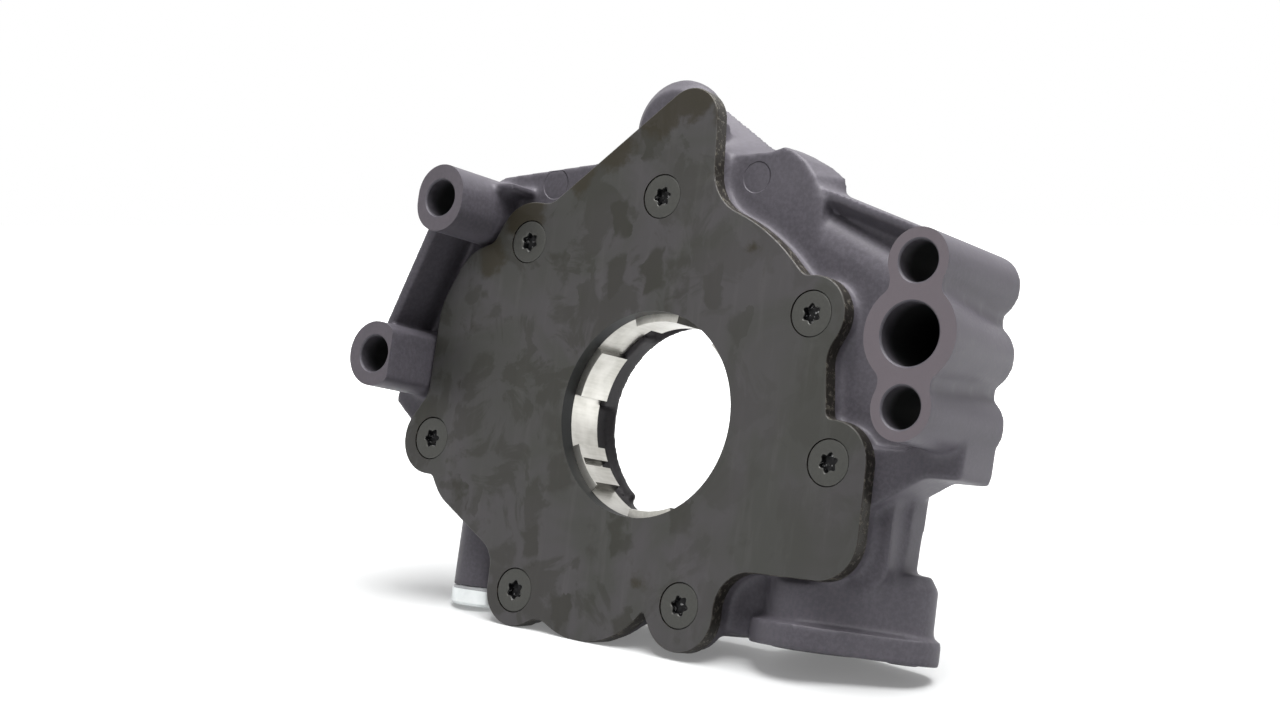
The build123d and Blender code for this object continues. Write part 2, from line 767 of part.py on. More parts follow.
with BuildPart() as relief_plug:
    with BuildSketch(Plane.XY.offset(plug_shoulder)):
        with Locations((relief_x, relief_y)):
            Circle(plug_head_r)
    extrude(amount=-plug_head_height)
    chamfer(relief_plug.faces().sort_by(Axis.Z)[0].edges(), length=0.8)
    with BuildSketch(Plane.XY.offset(plug_shoulder)):
        with Locations((relief_x, relief_y)):
            Circle(plug_thread_r)
    extrude(amount=plug_top - plug_shoulder)
    with BuildSketch(Plane.XY.offset(plug_shoulder - plug_head_height)):
        with Locations((relief_x, relief_y)):
            RegularPolygon(plug_socket_across / 2, 6, major_radius=False)
    extrude(amount=plug_socket_depth, mode=Mode.SUBTRACT)

with BuildPart() as relief_plug_seal:
    with BuildSketch(Plane.XY.offset(plug_shoulder)):
        with Locations((relief_x, relief_y)):
            Circle(seal_outer_r)
            Circle(seal_inner_r, mode=Mode.SUBTRACT)
    extrude(amount=seal_thickness)

spring_rise = spring_top - spring_bottom - 2 * spring_wire_r
with BuildPart() as relief_spring:
    with BuildLine(Plane((relief_x, relief_y, spring_bottom + spring_wire_r))):
        coil = Helix(pitch=spring_rise / spring_turns, height=spring_rise, radius=spring_mean_r)
    with BuildSketch(Plane(origin=coil @ 0, z_dir=coil % 0)):
        Circle(spring_wire_r)
    sweep(path=coil)

pieces = {
    "housing": housing,
    "cover_plate": cover_plate,
    "outer_rotor": outer_rotor,
    "inner_rotor": inner_rotor,
    "relief_piston": relief_piston,
    "relief_spring": relief_spring,
    "relief_plug": relief_plug,
    "relief_plug_seal": relief_plug_seal,
    **cover_screws,
}

os.makedirs("parts", exist_ok=True)
for name, piece in pieces.items():
    piece.part.label = name
    export_step(piece.part, f"parts/{name}.step")
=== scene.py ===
# %% [markdown]
# # An engine oil pump, dressed in Blender
#
# The pump is a die-cast aluminium housing closed by a black steel cover. A pair of toothed rotors turns
# inside it, driven by the crankshaft that passes through the big hole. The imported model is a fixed
# frame: plain solids in their right places. Each visible piece is finished here as a mesh of its own, in
# metres and in the frame's place, and then replaces the plain solid that it stands for. Starting from
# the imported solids, and not from a blank page, keeps every bore and face at its real size.

# %% Load the frame
import json
import math

import bmesh
import bpy
import numpy as np
from mathutils import Matrix, Vector


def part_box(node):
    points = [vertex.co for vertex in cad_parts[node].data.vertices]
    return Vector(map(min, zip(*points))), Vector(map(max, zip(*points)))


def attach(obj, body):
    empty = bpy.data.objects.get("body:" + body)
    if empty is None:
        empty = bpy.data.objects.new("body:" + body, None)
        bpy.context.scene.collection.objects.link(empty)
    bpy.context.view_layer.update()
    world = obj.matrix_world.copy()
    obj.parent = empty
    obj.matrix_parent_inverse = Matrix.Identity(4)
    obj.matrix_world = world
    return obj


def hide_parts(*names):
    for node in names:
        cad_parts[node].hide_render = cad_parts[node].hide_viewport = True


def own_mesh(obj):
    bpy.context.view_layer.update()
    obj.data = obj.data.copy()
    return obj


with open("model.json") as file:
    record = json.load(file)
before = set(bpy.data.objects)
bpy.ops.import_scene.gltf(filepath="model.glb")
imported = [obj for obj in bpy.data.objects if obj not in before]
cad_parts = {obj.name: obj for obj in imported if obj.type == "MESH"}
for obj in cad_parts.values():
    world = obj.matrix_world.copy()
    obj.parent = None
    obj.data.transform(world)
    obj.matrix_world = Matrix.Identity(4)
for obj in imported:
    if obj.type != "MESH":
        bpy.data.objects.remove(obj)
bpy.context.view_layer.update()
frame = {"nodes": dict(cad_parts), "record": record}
record = frame["record"]
scene = bpy.context.scene
MM = 0.001
print("nodes", sorted(frame["nodes"]))


# %% [markdown]
# ## Camera
#
# The photograph was taken with a long lens from the front right and a little below. A camera can be
# placed by eye, but here its place and turn were solved from the round holes and the parallel edges, so
# that the render lies on the photograph. They are written as angles, and as a point in millimetres from
# the crank axis.

# %% Camera
camera_azimuth = 37.182
camera_elevation = -5.028
camera_roll = 7.584
camera_eye_mm = (342.2, -455.9, -35.6)
camera_lens_mm = 58.56


def camera_axes(azimuth, elevation, roll):
    """Right, up and forward unit vectors of a camera that looks along +Y at azimuth 0.

    forward = (-sin az cos el, cos az cos el, -sin el), and right and up turn round it by the roll.
    """
    az, el, turn = (math.radians(angle) for angle in (azimuth, elevation, roll))
    forward = Vector((-math.sin(az) * math.cos(el), math.cos(az) * math.cos(el), -math.sin(el)))
    level_right = Vector((math.cos(az), math.sin(az), 0))
    level_up = level_right.cross(forward)
    right = math.cos(turn) * level_right + math.sin(turn) * level_up
    up = -math.sin(turn) * level_right + math.cos(turn) * level_up
    return right, up, forward


view_right, view_up, view_forward = camera_axes(camera_azimuth, camera_elevation, camera_roll)
camera_data = bpy.data.cameras.new("camera")
camera_data.lens = camera_lens_mm
camera_data.sensor_width = 36
camera = bpy.data.objects.new("camera", camera_data)
turn_columns = Matrix((view_right, view_up, -view_forward)).transposed()
camera.matrix_world = Matrix.Translation(Vector(camera_eye_mm) * MM) @ turn_columns.to_4x4()
scene.collection.objects.link(camera)
scene.camera = camera
print("camera at", [round(value, 3) for value in camera.location], "m")


# %% [markdown]
# ## Two small tools for colour and shaders
#
# Colours are written as they look on a screen, as sRGB hex codes, and a shader wants them linear, so one
# function turns them. Shader nodes could be wired by hand in the editor. One function that makes a node
# with its settings and its links keeps each finish short enough to read.

# %% Colours and shader nodes
def srgb(hex_code):
    """Linear red, green, blue and alpha of an sRGB hex colour.

    Each part p from 0 to 1 becomes p / 12.92 where it is small and ((p + 0.055) / 1.055) ^ 2.4 elsewhere.
    """
    parts = [int(hex_code[i:i + 2], 16) / 255 for i in (1, 3, 5)]
    return tuple(p / 12.92 if p <= 0.04045 else ((p + 0.055) / 1.055) ** 2.4 for p in parts) + (1.0,)


def add_node(tree, kind, inputs=None, **settings):
    """One shader node with its settings, and its inputs as values or as output sockets to link."""
    node = tree.nodes.new(kind)
    for name, value in settings.items():
        setattr(node, name, value)
    for key, value in (inputs or {}).items():
        if isinstance(value, bpy.types.NodeSocket):
            tree.links.new(value, node.inputs[key])
        else:
            node.inputs[key].default_value = value
    return node


print("mid grey is", round(srgb("#808080")[0], 3), "of white in linear light")


# %% [markdown]
# ## Table
#
# The pump leans back on its cover's lower edge and its pickup flange. The frame keeps the cover upright,
# so it is the table that is tilted. Its upward direction lies in the plane of the camera's up and forward
# directions, because the photograph's horizon is level, and its height is where the lowest of the
# pump's feet touches it.

# %% Table
table_tilt = 8.0
table_size = 3.0
feet_mm = [(-12.5, 0.0, -64.0), (20.0, 4.0, -62.7), (86.0, 20.0, -56.8), (62.0, 2.0, -56.8)]

tilt = math.radians(table_tilt)
table_up = (math.cos(tilt) * view_up - math.sin(tilt) * view_forward).normalized()
table_height = min(Vector(foot) @ table_up for foot in feet_mm) * MM
table_side = view_right.copy()
table_depth = table_up.cross(table_side)
half = table_size / 2
table_corners = [
    table_height * table_up + half * (x * table_side + y * table_depth)
    for x, y in ((-1, -1), (1, -1), (1, 1), (-1, 1))
]
table_mesh = bpy.data.meshes.new("table")
table_mesh.from_pydata([tuple(corner) for corner in table_corners], [], [(0, 1, 2, 3)])
table = bpy.data.objects.new("table", table_mesh)
scene.collection.objects.link(table)
print("table leans", round(math.degrees(math.acos(table_up.z)), 1), "degrees in the frame")


# %% [markdown]
# The table is white laminate. In a studio it is lit until it is as white as the background, which would
# also flood the pump with light. So the laminate is a light grey that takes the pump's shadow, with a
# glow that only the camera, mirror reflections and clear glass see. It is clear from below, so that a
# view from there still shows the pump.

# %% White laminate
table_glow = 0.19
glow_starts, glow_ends = 0.10, 0.45


def seen_directly(tree):
    """1 for rays from the camera, mirror reflections and clear glass, and 0 for the light itself."""
    path = add_node(tree, "ShaderNodeLightPath")
    either = add_node(tree, "ShaderNodeMath", {
        0: path.outputs["Is Camera Ray"], 1: path.outputs["Is Glossy Ray"],
    }, operation="MAXIMUM")
    return add_node(tree, "ShaderNodeMath", {
        0: either.outputs[0], 1: path.outputs["Is Transmission Ray"],
    }, operation="MAXIMUM").outputs[0]


def white_laminate():
    """Light grey laminate whose glow grows to full white away from the pump."""
    material = bpy.data.materials.new("white_laminate")
    material.use_nodes = True
    tree = material.node_tree
    tree.nodes.clear()
    coat = add_node(tree, "ShaderNodeBsdfPrincipled", {
        "Base Color": srgb("#cecfcf"), "Roughness": 0.5, "Specular IOR Level": 0.3,
    })
    place = add_node(tree, "ShaderNodeTexCoord").outputs["Object"]
    away = add_node(tree, "ShaderNodeVectorMath", {0: place}, operation="LENGTH").outputs["Value"]
    whiter = add_node(tree, "ShaderNodeMapRange", {
        "Value": away, "From Min": glow_starts, "From Max": glow_ends, "To Min": table_glow, "To Max": 1.0,
    }, interpolation_type="SMOOTHSTEP").outputs["Result"]
    strength = add_node(tree, "ShaderNodeMath", {0: whiter, 1: seen_directly(tree)}, operation="MULTIPLY")
    glow = add_node(tree, "ShaderNodeEmission", {"Color": srgb("#ffffff"), "Strength": strength.outputs[0]})
    lit = add_node(tree, "ShaderNodeAddShader", {0: coat.outputs[0], 1: glow.outputs[0]})
    clear = add_node(tree, "ShaderNodeBsdfTransparent")
    side = add_node(tree, "ShaderNodeNewGeometry")
    shown = add_node(tree, "ShaderNodeMixShader", {
        0: side.outputs["Backfacing"], 1: lit.outputs[0], 2: clear.outputs[0],
    })
    add_node(tree, "ShaderNodeOutputMaterial", {"Surface": shown.outputs[0]})
    return material


table_mesh.materials.append(white_laminate())
print("the table's finish has", len(table_mesh.materials[0].node_tree.nodes), "nodes")


# %% [markdown]
# ## Light
#
# The studio is a white tent: a large soft panel overhead, which makes the tops of the casting light and
# leaves the faces under the cover's edge dark, with a weak panel on the right and one at the front. The
# camera and mirror-like surfaces see a white world, and matt surfaces get a much dimmer one, so that the
# background is white and the shadows stay deep.

# %% World
world = bpy.data.worlds.new("studio")
scene.world = world
world.use_nodes = True
world_tree = world.node_tree
world_tree.nodes.clear()
soft_light = add_node(world_tree, "ShaderNodeBackground", {"Color": srgb("#f0f1f4"), "Strength": 0.055})
white_sight = add_node(world_tree, "ShaderNodeBackground", {"Color": (1, 1, 1, 1), "Strength": 1.0})
world_mix = add_node(world_tree, "ShaderNodeMixShader", {
    0: seen_directly(world_tree), 1: soft_light.outputs[0], 2: white_sight.outputs[0],
})
add_node(world_tree, "ShaderNodeOutputWorld", {"Surface": world_mix.outputs[0]})
print("matt surfaces get", soft_light.inputs["Strength"].default_value, "of the white that the camera sees")


# %% Lamps
def softbox(name, direction, distance, size, power):
    """A square area lamp of a size in metres, at a distance from the pump, that faces it."""
    lamp_data = bpy.data.lights.new(name, "AREA")
    lamp_data.shape = "SQUARE"
    lamp_data.size = size
    lamp_data.energy = power
    lamp = bpy.data.objects.new(name, lamp_data)
    lamp.location = direction.normalized() * distance
    lamp.rotation_euler = (-direction).to_track_quat("-Z", "Y").to_euler()
    scene.collection.objects.link(lamp)
    return lamp


lamps = [
    softbox("overhead", table_up + 0.18 * view_right - 0.06 * view_forward, 1.0, 0.9, 27),
    softbox("right", view_right + 0.9 * table_up + 0.1 * view_forward, 1.0, 0.8, 0.3),
    softbox("front", -view_forward + 0.9 * table_up - 0.5 * view_right, 1.2, 0.8, 1.0),
]
print("lamps", [(lamp.name, round(lamp.data.energy, 1)) for lamp in lamps])


# %% [markdown]
# ## Patterns
#
# Every finish is procedural: it is worked out from the place of each point in the pump's frame, so it
# needs no picture and no unwrapping. Noise whose grain is a real size in millimetres gives clouds, grain
# and bump, a smooth step turns it into patches, and a blend lays one colour over another.

# %% Tools for patterns
def new_finish(name, metallic, roughness, **extra):
    """An empty material with its tree, its shader and the place of each point in the pump's frame."""
    material = bpy.data.materials.new(name)
    material.use_nodes = True
    tree = material.node_tree
    tree.nodes.clear()
    shader = add_node(tree, "ShaderNodeBsdfPrincipled", {
        "Metallic": metallic, "Roughness": roughness, **extra,
    })
    add_node(tree, "ShaderNodeOutputMaterial", {"Surface": shader.outputs[0]})
    place = add_node(tree, "ShaderNodeTexCoord").outputs["Object"]
    return material, tree, shader, place


def grain(tree, place, size_mm, detail=3.0, roughness=0.55, distortion=0.0):
    """Noise whose features are about size_mm across, as a factor from 0 to 1."""
    node = add_node(tree, "ShaderNodeTexNoise", {
        "Vector": place, "Scale": 1 / (size_mm * MM), "Detail": detail, "Roughness": roughness,
        "Distortion": distortion,
    })
    return node.outputs["Fac"]


def blend_colours(tree, factor, first, second):
    """Two colours, each a hex string or a colour socket, blended by a factor."""
    node = add_node(tree, "ShaderNodeMix", {
        "Factor": factor,
        6: srgb(first) if isinstance(first, str) else first,
        7: srgb(second) if isinstance(second, str) else second,
    }, data_type="RGBA")
    return node.outputs[2]


def add_bump(tree, shader, height, depth_mm, strength=1.0):
    """Raises the surface by a height factor times depth_mm."""
    bump = add_node(tree, "ShaderNodeBump", {
        "Height": height, "Distance": depth_mm * MM, "Strength": strength,
    })
    tree.links.new(bump.outputs[0], shader.inputs["Normal"])


finishes = {}
print("finishes to make", sorted({part["material_slot"] for part in record["subparts"]}))


# %% [markdown]
# ## Zinc plate and soft aluminium
#
# The plug of the relief valve is steel with clear zinc plate, the brightest thing on the pump. Zinc from
# a barrel is a fine, slightly blue, half-gloss metal. Its washer is bare soft aluminium, duller and
# greyer. Both need little more than a colour that drifts over a few millimetres.

# %% Zinc plate and soft aluminium
def zinc_plate():
    """Barrel-plated zinc: light metal with clouds of 3 mm and a bump of 0.6 mm, which blurs its shine."""
    material, tree, shader, place = new_finish("zinc_plate", 1.0, 0.35)
    cloud = grain(tree, place, 3, detail=3)
    tree.links.new(blend_colours(tree, cloud, "#d3d8d8", "#eff2f2"), shader.inputs["Base Color"])
    add_bump(tree, shader, grain(tree, place, 0.6), 0.02, 0.3)
    return material


def soft_aluminium():
    """Bare stamped aluminium: a dull grey metal with clouds of 2 mm."""
    material, tree, shader, place = new_finish("soft_aluminium", 1.0, 0.45)
    cloud = grain(tree, place, 2, detail=3)
    tree.links.new(blend_colours(tree, cloud, "#8f9092", "#a9aaac"), shader.inputs["Base Color"])
    return material


finishes["plug_zinc"] = zinc_plate()
finishes["seal_aluminium"] = soft_aluminium()
print("made", [finish.name for finish in finishes.values()])


# %% [markdown]
# ## Ground steel
#
# The rotors are sintered steel, ground to size, so their bores show fine lines along the axis and soft
# light clouds. The flanks of the raised lands in the bore are painted dark, as painted shade. Such a
# corner could be drawn by hand, but the direction of the surface finds it: a ground face looks at the
# crank axis or along it, and a corner does neither.

# %% Tools for masks
def stepped(tree, factor, low, high, dark=0.0, light=1.0):
    """A factor spread smoothly from dark to light as it goes from low to high."""
    node = add_node(tree, "ShaderNodeMapRange", {
        "Value": factor, "From Min": low, "From Max": high, "To Min": dark, "To Max": light,
    }, interpolation_type="SMOOTHSTEP")
    return node.outputs["Result"]


def calculate(tree, operation, *values):
    """One step of arithmetic on factors."""
    node = add_node(tree, "ShaderNodeMath", dict(enumerate(values)), operation=operation)
    return node.outputs[0]


def in_mm(tree, place):
    """The x, y and z of a place, in millimetres."""
    scaled = add_node(tree, "ShaderNodeVectorMath", {0: place, 1: (1 / MM,) * 3}, operation="MULTIPLY")
    parts = add_node(tree, "ShaderNodeSeparateXYZ", {0: scaled.outputs[0]})
    return parts.outputs[0], parts.outputs[1], parts.outputs[2]


rotor_low, rotor_high = (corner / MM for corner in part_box("inner_rotor"))
print("the inner rotor lies from y =", round(rotor_low.y, 1), "to", round(rotor_high.y, 1), "mm")


# %% Ground steel
def square_to_axis(tree, x, z):
    """1 on faces that look at the crank axis or along it: the larger of |n . outwards| and |n . axis|."""
    normal = add_node(tree, "ShaderNodeTexCoord").outputs["Normal"]
    outwards = add_node(tree, "ShaderNodeCombineXYZ", {0: x, 1: 0.0, 2: z}).outputs[0]
    outwards = add_node(tree, "ShaderNodeVectorMath", {0: outwards}, operation="NORMALIZE").outputs[0]
    along = add_node(tree, "ShaderNodeVectorMath", {0: normal, 1: outwards}, operation="DOT_PRODUCT")
    flat = add_node(tree, "ShaderNodeSeparateXYZ", {0: normal}).outputs[1]
    both = [calculate(tree, "ABSOLUTE", part) for part in (along.outputs["Value"], flat)]
    return calculate(tree, "MAXIMUM", *both)


def ground_steel():
    """Bright metal with lines of 0.8 mm along Y, coarser than real ones to show, and painted shade on the
    flanks.
    """
    material, tree, shader, place = new_finish("ground_steel", 1.0, 0.34)
    x, y, z = in_mm(tree, place)
    cloud = stepped(tree, grain(tree, place, 9, detail=3), 0.35, 0.7)
    long = add_node(tree, "ShaderNodeVectorMath", {0: place, 1: (1.0, 0.1, 1.0)}, operation="MULTIPLY")
    lines = grain(tree, long.outputs[0], 0.8, detail=3)
    coat = blend_colours(tree, cloud, "#b1afa8", "#cbc9c3")
    coat = blend_colours(tree, stepped(tree, lines, 0.35, 0.7, 0.0, 0.25), coat, "#dddbd6")
    # Painted shade: flanks that look neither at the crank axis nor along it are painted dark
    flank_shade = stepped(tree, square_to_axis(tree, x, z), 0.35, 0.7, 0.85, 0.0)
    coat = blend_colours(tree, flank_shade, coat, "#3b3a37")
    tree.links.new(coat, shader.inputs["Base Color"])
    add_bump(tree, shader, lines, 0.012, 0.4)
    return material


for slot in ("rotor_steel", "piston_steel", "spring_steel"):
    finishes[slot] = ground_steel()
print("ground steel has", len(finishes["rotor_steel"].node_tree.nodes), "nodes")


# %% [markdown]
# ## Phosphated steel
#
# The cover screws are phosphated: a fine crystal coat that soaks up oil, dark olive grey and hardly
# shiny. Their sockets get painted shade, blacker with depth, and bright specks as painted glints. The
# depth behind the cover's face tells the socket from the head.

# %% Phosphated steel
socket_starts, socket_deep = 0.2, 0.5


def phosphated_steel():
    """Grainy coat of 0.8 mm, coarser than the real crystals to show, and a socket with painted shade and
    painted glints.
    """
    material, tree, shader, place = new_finish(
        "phosphated_steel", 0.5, 0.42, **{"Specular IOR Level": 0.4},
    )
    x, y, z = in_mm(tree, place)
    skin = grain(tree, place, 0.8)
    coat = blend_colours(tree, skin, "#424240", "#50504c")
    # Painted glints: bright specks inside the socket
    socket_glints = stepped(tree, grain(tree, place, 1.2, detail=4), 0.58, 0.64)
    inside = blend_colours(tree, socket_glints, "#1c1c1d", "#a3a3a3")
    # Painted shade: the socket turns dark with depth behind the cover's face
    coat = blend_colours(tree, stepped(tree, y, socket_starts, socket_deep), coat, inside)
    tree.links.new(coat, shader.inputs["Base Color"])
    add_bump(tree, shader, skin, 0.03, 0.4)
    return material


finishes["screw_steel"] = phosphated_steel()
print("phosphated steel has", len(finishes["screw_steel"].node_tree.nodes), "nodes")


# %% [markdown]
# ## Die-cast aluminium
#
# The housing is a high-pressure die casting with a dark conversion coat: a satin, slightly purple grey,
# cloudy over a few centimetres, with a fine skin of grain from the die. The die's ejector pins left
# round sunk marks. The mounting faces were milled and the bores drilled after casting, which cut through
# the coat. The drilled bores are painted near black as painted shade, and the milled faces are painted
# darker towards the left as painted shade. One material with masks follows the real order of work better
# than separate pieces would, because the masks meet the record's own bores to a tenth of a millimetre.

# %% Masks of the casting
# Each ejector mark is x, z and radius
ejector_marks_mm = [(21.9, 68.0, 4.35), (-49.0, 65.9, 4.5)]
mark_depth_mm = 0.4
milled_y = -18.0
crank_relief_r = 30.4


def away_from(tree, x, z, centre_x, centre_z):
    """Distance from an axis along Y, in millimetres: the root of (x - centre_x)^2 + (z - centre_z)^2."""
    across = calculate(tree, "SUBTRACT", x, centre_x)
    up = calculate(tree, "SUBTRACT", z, centre_z)
    squares = [calculate(tree, "MULTIPLY", side, side) for side in (across, up)]
    return calculate(tree, "SQRT", calculate(tree, "ADD", *squares))


def facing(tree, low, high):
    """1 where the surface faces the cover's side, 0 where it faces away or sideways."""
    normal = add_node(tree, "ShaderNodeTexCoord").outputs["Normal"]
    along = add_node(tree, "ShaderNodeSeparateXYZ", {0: normal}).outputs[1]
    return stepped(tree, calculate(tree, "MULTIPLY", along, -1.0), low, high)


# Each bore that runs back from the milled faces is x, z, radius and the y where it ends
bores_mm = [
    (
        mount["pos_m"][0] / MM, mount["pos_m"][2] / MM,
        mount["dims"]["r_mm"], milled_y + mount["dims"]["length_mm"],
    )
    for mount in record["mounts"] if mount["kind"] == "bore" and mount["axis"] == [0, -1, 0]
]
print(len(bores_mm), "bores run back from the milled faces")


# %% Bores and marks as factors
def painted_bore_shade(tree, x, y, z):
    """1 on the walls and floors of the drilled bores, with a third of that just behind their mouths: where
    painted shade goes.
    """
    covered = None
    for centre_x, centre_z, radius, end_y in bores_mm:
        floor_y = end_y + radius / 2
        near = calculate(
            tree, "MULTIPLY",
            stepped(tree, away_from(tree, x, z, centre_x, centre_z), radius + 0.1, radius + 0.3, 1.0, 0.0),
            stepped(tree, y, floor_y + 0.3, floor_y + 0.8, 1.0, 0.0),
        )
        covered = near if covered is None else calculate(tree, "MAXIMUM", covered, near)
    return calculate(tree, "MULTIPLY", covered, stepped(tree, y, milled_y + 0.4, milled_y + 7, 0.35, 1.0))


def behind_the_rotor(tree, x, y, z):
    """1 on the lip behind the inner rotor, inside the crank bore, which is painted darker."""
    return calculate(
        tree, "MULTIPLY",
        stepped(tree, away_from(tree, x, z, 0, 0), crank_relief_r, crank_relief_r + 0.4, 1.0, 0.0),
        stepped(tree, y, rotor_high.y - 0.6, rotor_high.y - 0.2),
    )


def with_ejector_marks(tree, height, x, z, front):
    """A height in millimetres with each ejector mark sunk 0.4 mm into the faces that look forwards."""
    for centre_x, centre_z, radius in ejector_marks_mm:
        away = away_from(tree, x, z, centre_x, centre_z)
        sunk = stepped(tree, away, radius - 0.2, radius + 0.2, -mark_depth_mm, 0.0)
        sunk = calculate(tree, "MULTIPLY", sunk, front)
        height = calculate(tree, "ADD", height, sunk)
    return height


print(len(ejector_marks_mm), "ejector marks")


# %% Die-cast aluminium
def cast_aluminium():
    """Coated casting: clouds of 26 mm, grain of 1.1 mm, milled faces with turning marks and painted shade
    in the bores.
    """
    material, tree, shader, place = new_finish(
        "die_cast_aluminium", 0.12, 0.46, **{"Specular IOR Level": 0.25},
    )
    x, y, z = in_mm(tree, place)
    front = facing(tree, 0.75, 0.95)
    clouds = stepped(tree, grain(tree, place, 26, detail=4), 0.3, 0.7)
    skin = grain(tree, place, 1.1, detail=4, roughness=0.6)
    coat = blend_colours(tree, clouds, "#4e4b51", "#565359")
    coat = blend_colours(tree, stepped(tree, skin, 0.35, 0.7, 0.0, 0.35), coat, "#6b6770")
    level = stepped(tree, y, milled_y + 0.05, milled_y + 0.15, 1.0, 0.0)
    milled = calculate(tree, "MULTIPLY", level, front)
    # Painted shade: the milled faces of the left bosses are painted darker than the pad on the right
    painted_light_to_right = stepped(tree, x, -95, 60, 0.35, 1.0)
    coat = blend_colours(tree, calculate(tree, "MULTIPLY", milled, painted_light_to_right), coat, "#6c656a")
    # Painted shade: the bores are painted near black, with no metal and a rough surface
    bore_shade = painted_bore_shade(tree, x, y, z)
    coat = blend_colours(tree, bore_shade, coat, "#0d0d0e")
    # The lip behind the rotor is painted darker than the rest of the casting
    lip_colour = blend_colours(tree, skin, "#1f1d1f", "#3a373a")
    coat = blend_colours(tree, behind_the_rotor(tree, x, y, z), coat, lip_colour)
    tree.links.new(coat, shader.inputs["Base Color"])
    tree.links.new(stepped(tree, bore_shade, 0.0, 1.0, 0.12, 0.0), shader.inputs["Metallic"])
    satin = stepped(tree, skin, 0.3, 0.7, 0.42, 0.56)
    rough = calculate(tree, "MAXIMUM", satin, calculate(tree, "MULTIPLY", bore_shade, 0.8))
    tree.links.new(rough, shader.inputs["Roughness"])
    height = with_ejector_marks(tree, calculate(tree, "MULTIPLY", skin, 0.04), x, z, front)
    wavering = calculate(tree, "ADD", x, grain(tree, place, 30))
    turning = calculate(tree, "SINE", calculate(tree, "MULTIPLY", wavering, 9.0))
    turning = calculate(tree, "MULTIPLY", calculate(tree, "MULTIPLY", turning, milled), 0.006)
    add_bump(tree, shader, calculate(tree, "ADD", height, turning), 1.0, 0.8)
    return material


finishes["cast_aluminium"] = cast_aluminium()
print("die-cast aluminium has", len(finishes["cast_aluminium"].node_tree.nodes), "nodes")


# %% [markdown]
# ## Black oxide steel
#
# The cover is stamped from steel sheet and blackened. Black oxide is thin and holds an oil film, which
# dries in rectangular smears, in streaks where a rag went over it, and brown where it is thick. Blocks
# come from a Voronoi pattern whose cells are squares, pushed about by noise so that no two look alike.
# The sheared edge is rough: the punch tore the last part of it, which leaves bright specks.

# %% Smears of oil
# Each thick stain is x, z and radius
oil_stains_mm = [
    (1.9, 90.2, 9), (-7.5, 84.5, 8), (-22.0, 75.5, 8), (-34.0, 67.0, 6), (-53.0, 57.0, 9), (-63.0, 42.0, 6),
    (12.5, 84.0, 3), (6.4, -45.9, 3), (29.0, 47.0, 2),
]
smear_size_mm = 10


def oil_smears(tree, place, x):
    """Blocks about 10 x 15 mm and thin films of 17 mm, which fade towards the cover's clean right side."""
    wander = add_node(tree, "ShaderNodeTexNoise", {"Vector": place, "Scale": 1 / (9 * MM), "Detail": 4})
    shifted = add_node(tree, "ShaderNodeVectorMath", {
        0: wander.outputs["Color"], 1: (12 * MM,) * 3, 2: place,
    }, operation="MULTIPLY_ADD").outputs[0]
    taller = add_node(tree, "ShaderNodeMapping", {
        "Vector": shifted, "Rotation": (0.0, 0.25, 0.0), "Scale": (1.0, 1.0, 0.65),
    })
    blocks = add_node(tree, "ShaderNodeTexVoronoi", {
        "Vector": taller.outputs[0], "Scale": 1 / (smear_size_mm * MM),
    }, distance="CHEBYCHEV")
    chance = add_node(tree, "ShaderNodeSeparateXYZ", {0: blocks.outputs["Color"]}).outputs[0]
    smear = calculate(
        tree, "MULTIPLY", stepped(tree, chance, 0.45, 0.95, 0.0, 1.0),
        stepped(tree, blocks.outputs["Distance"], 0.28, 0.44, 1.0, 0.0),
    )
    films = stepped(tree, grain(tree, place, 17, detail=5, roughness=0.6, distortion=0.9), 0.49, 0.57)
    smear = calculate(tree, "MAXIMUM", smear, calculate(tree, "MULTIPLY", films, 0.6))
    return calculate(tree, "MULTIPLY", smear, stepped(tree, x, 45.0, -20.0, 0.35, 1.0))


def thick_stains(tree, place, x, z):
    """1 inside the stains, whose outlines are made ragged by noise of 5 mm."""
    ragged = calculate(tree, "MULTIPLY", grain(tree, place, 5, detail=4, roughness=0.65), 11.0)
    stains = None
    for centre_x, centre_z, radius in oil_stains_mm:
        away = calculate(tree, "ADD", away_from(tree, x, z, centre_x, centre_z), ragged)
        near = stepped(tree, away, radius + 2.5, radius + 6.5, 1.0, 0.0)
        stains = near if stains is None else calculate(tree, "MAXIMUM", stains, near)
    return stains


print(len(oil_stains_mm), "thick stains")


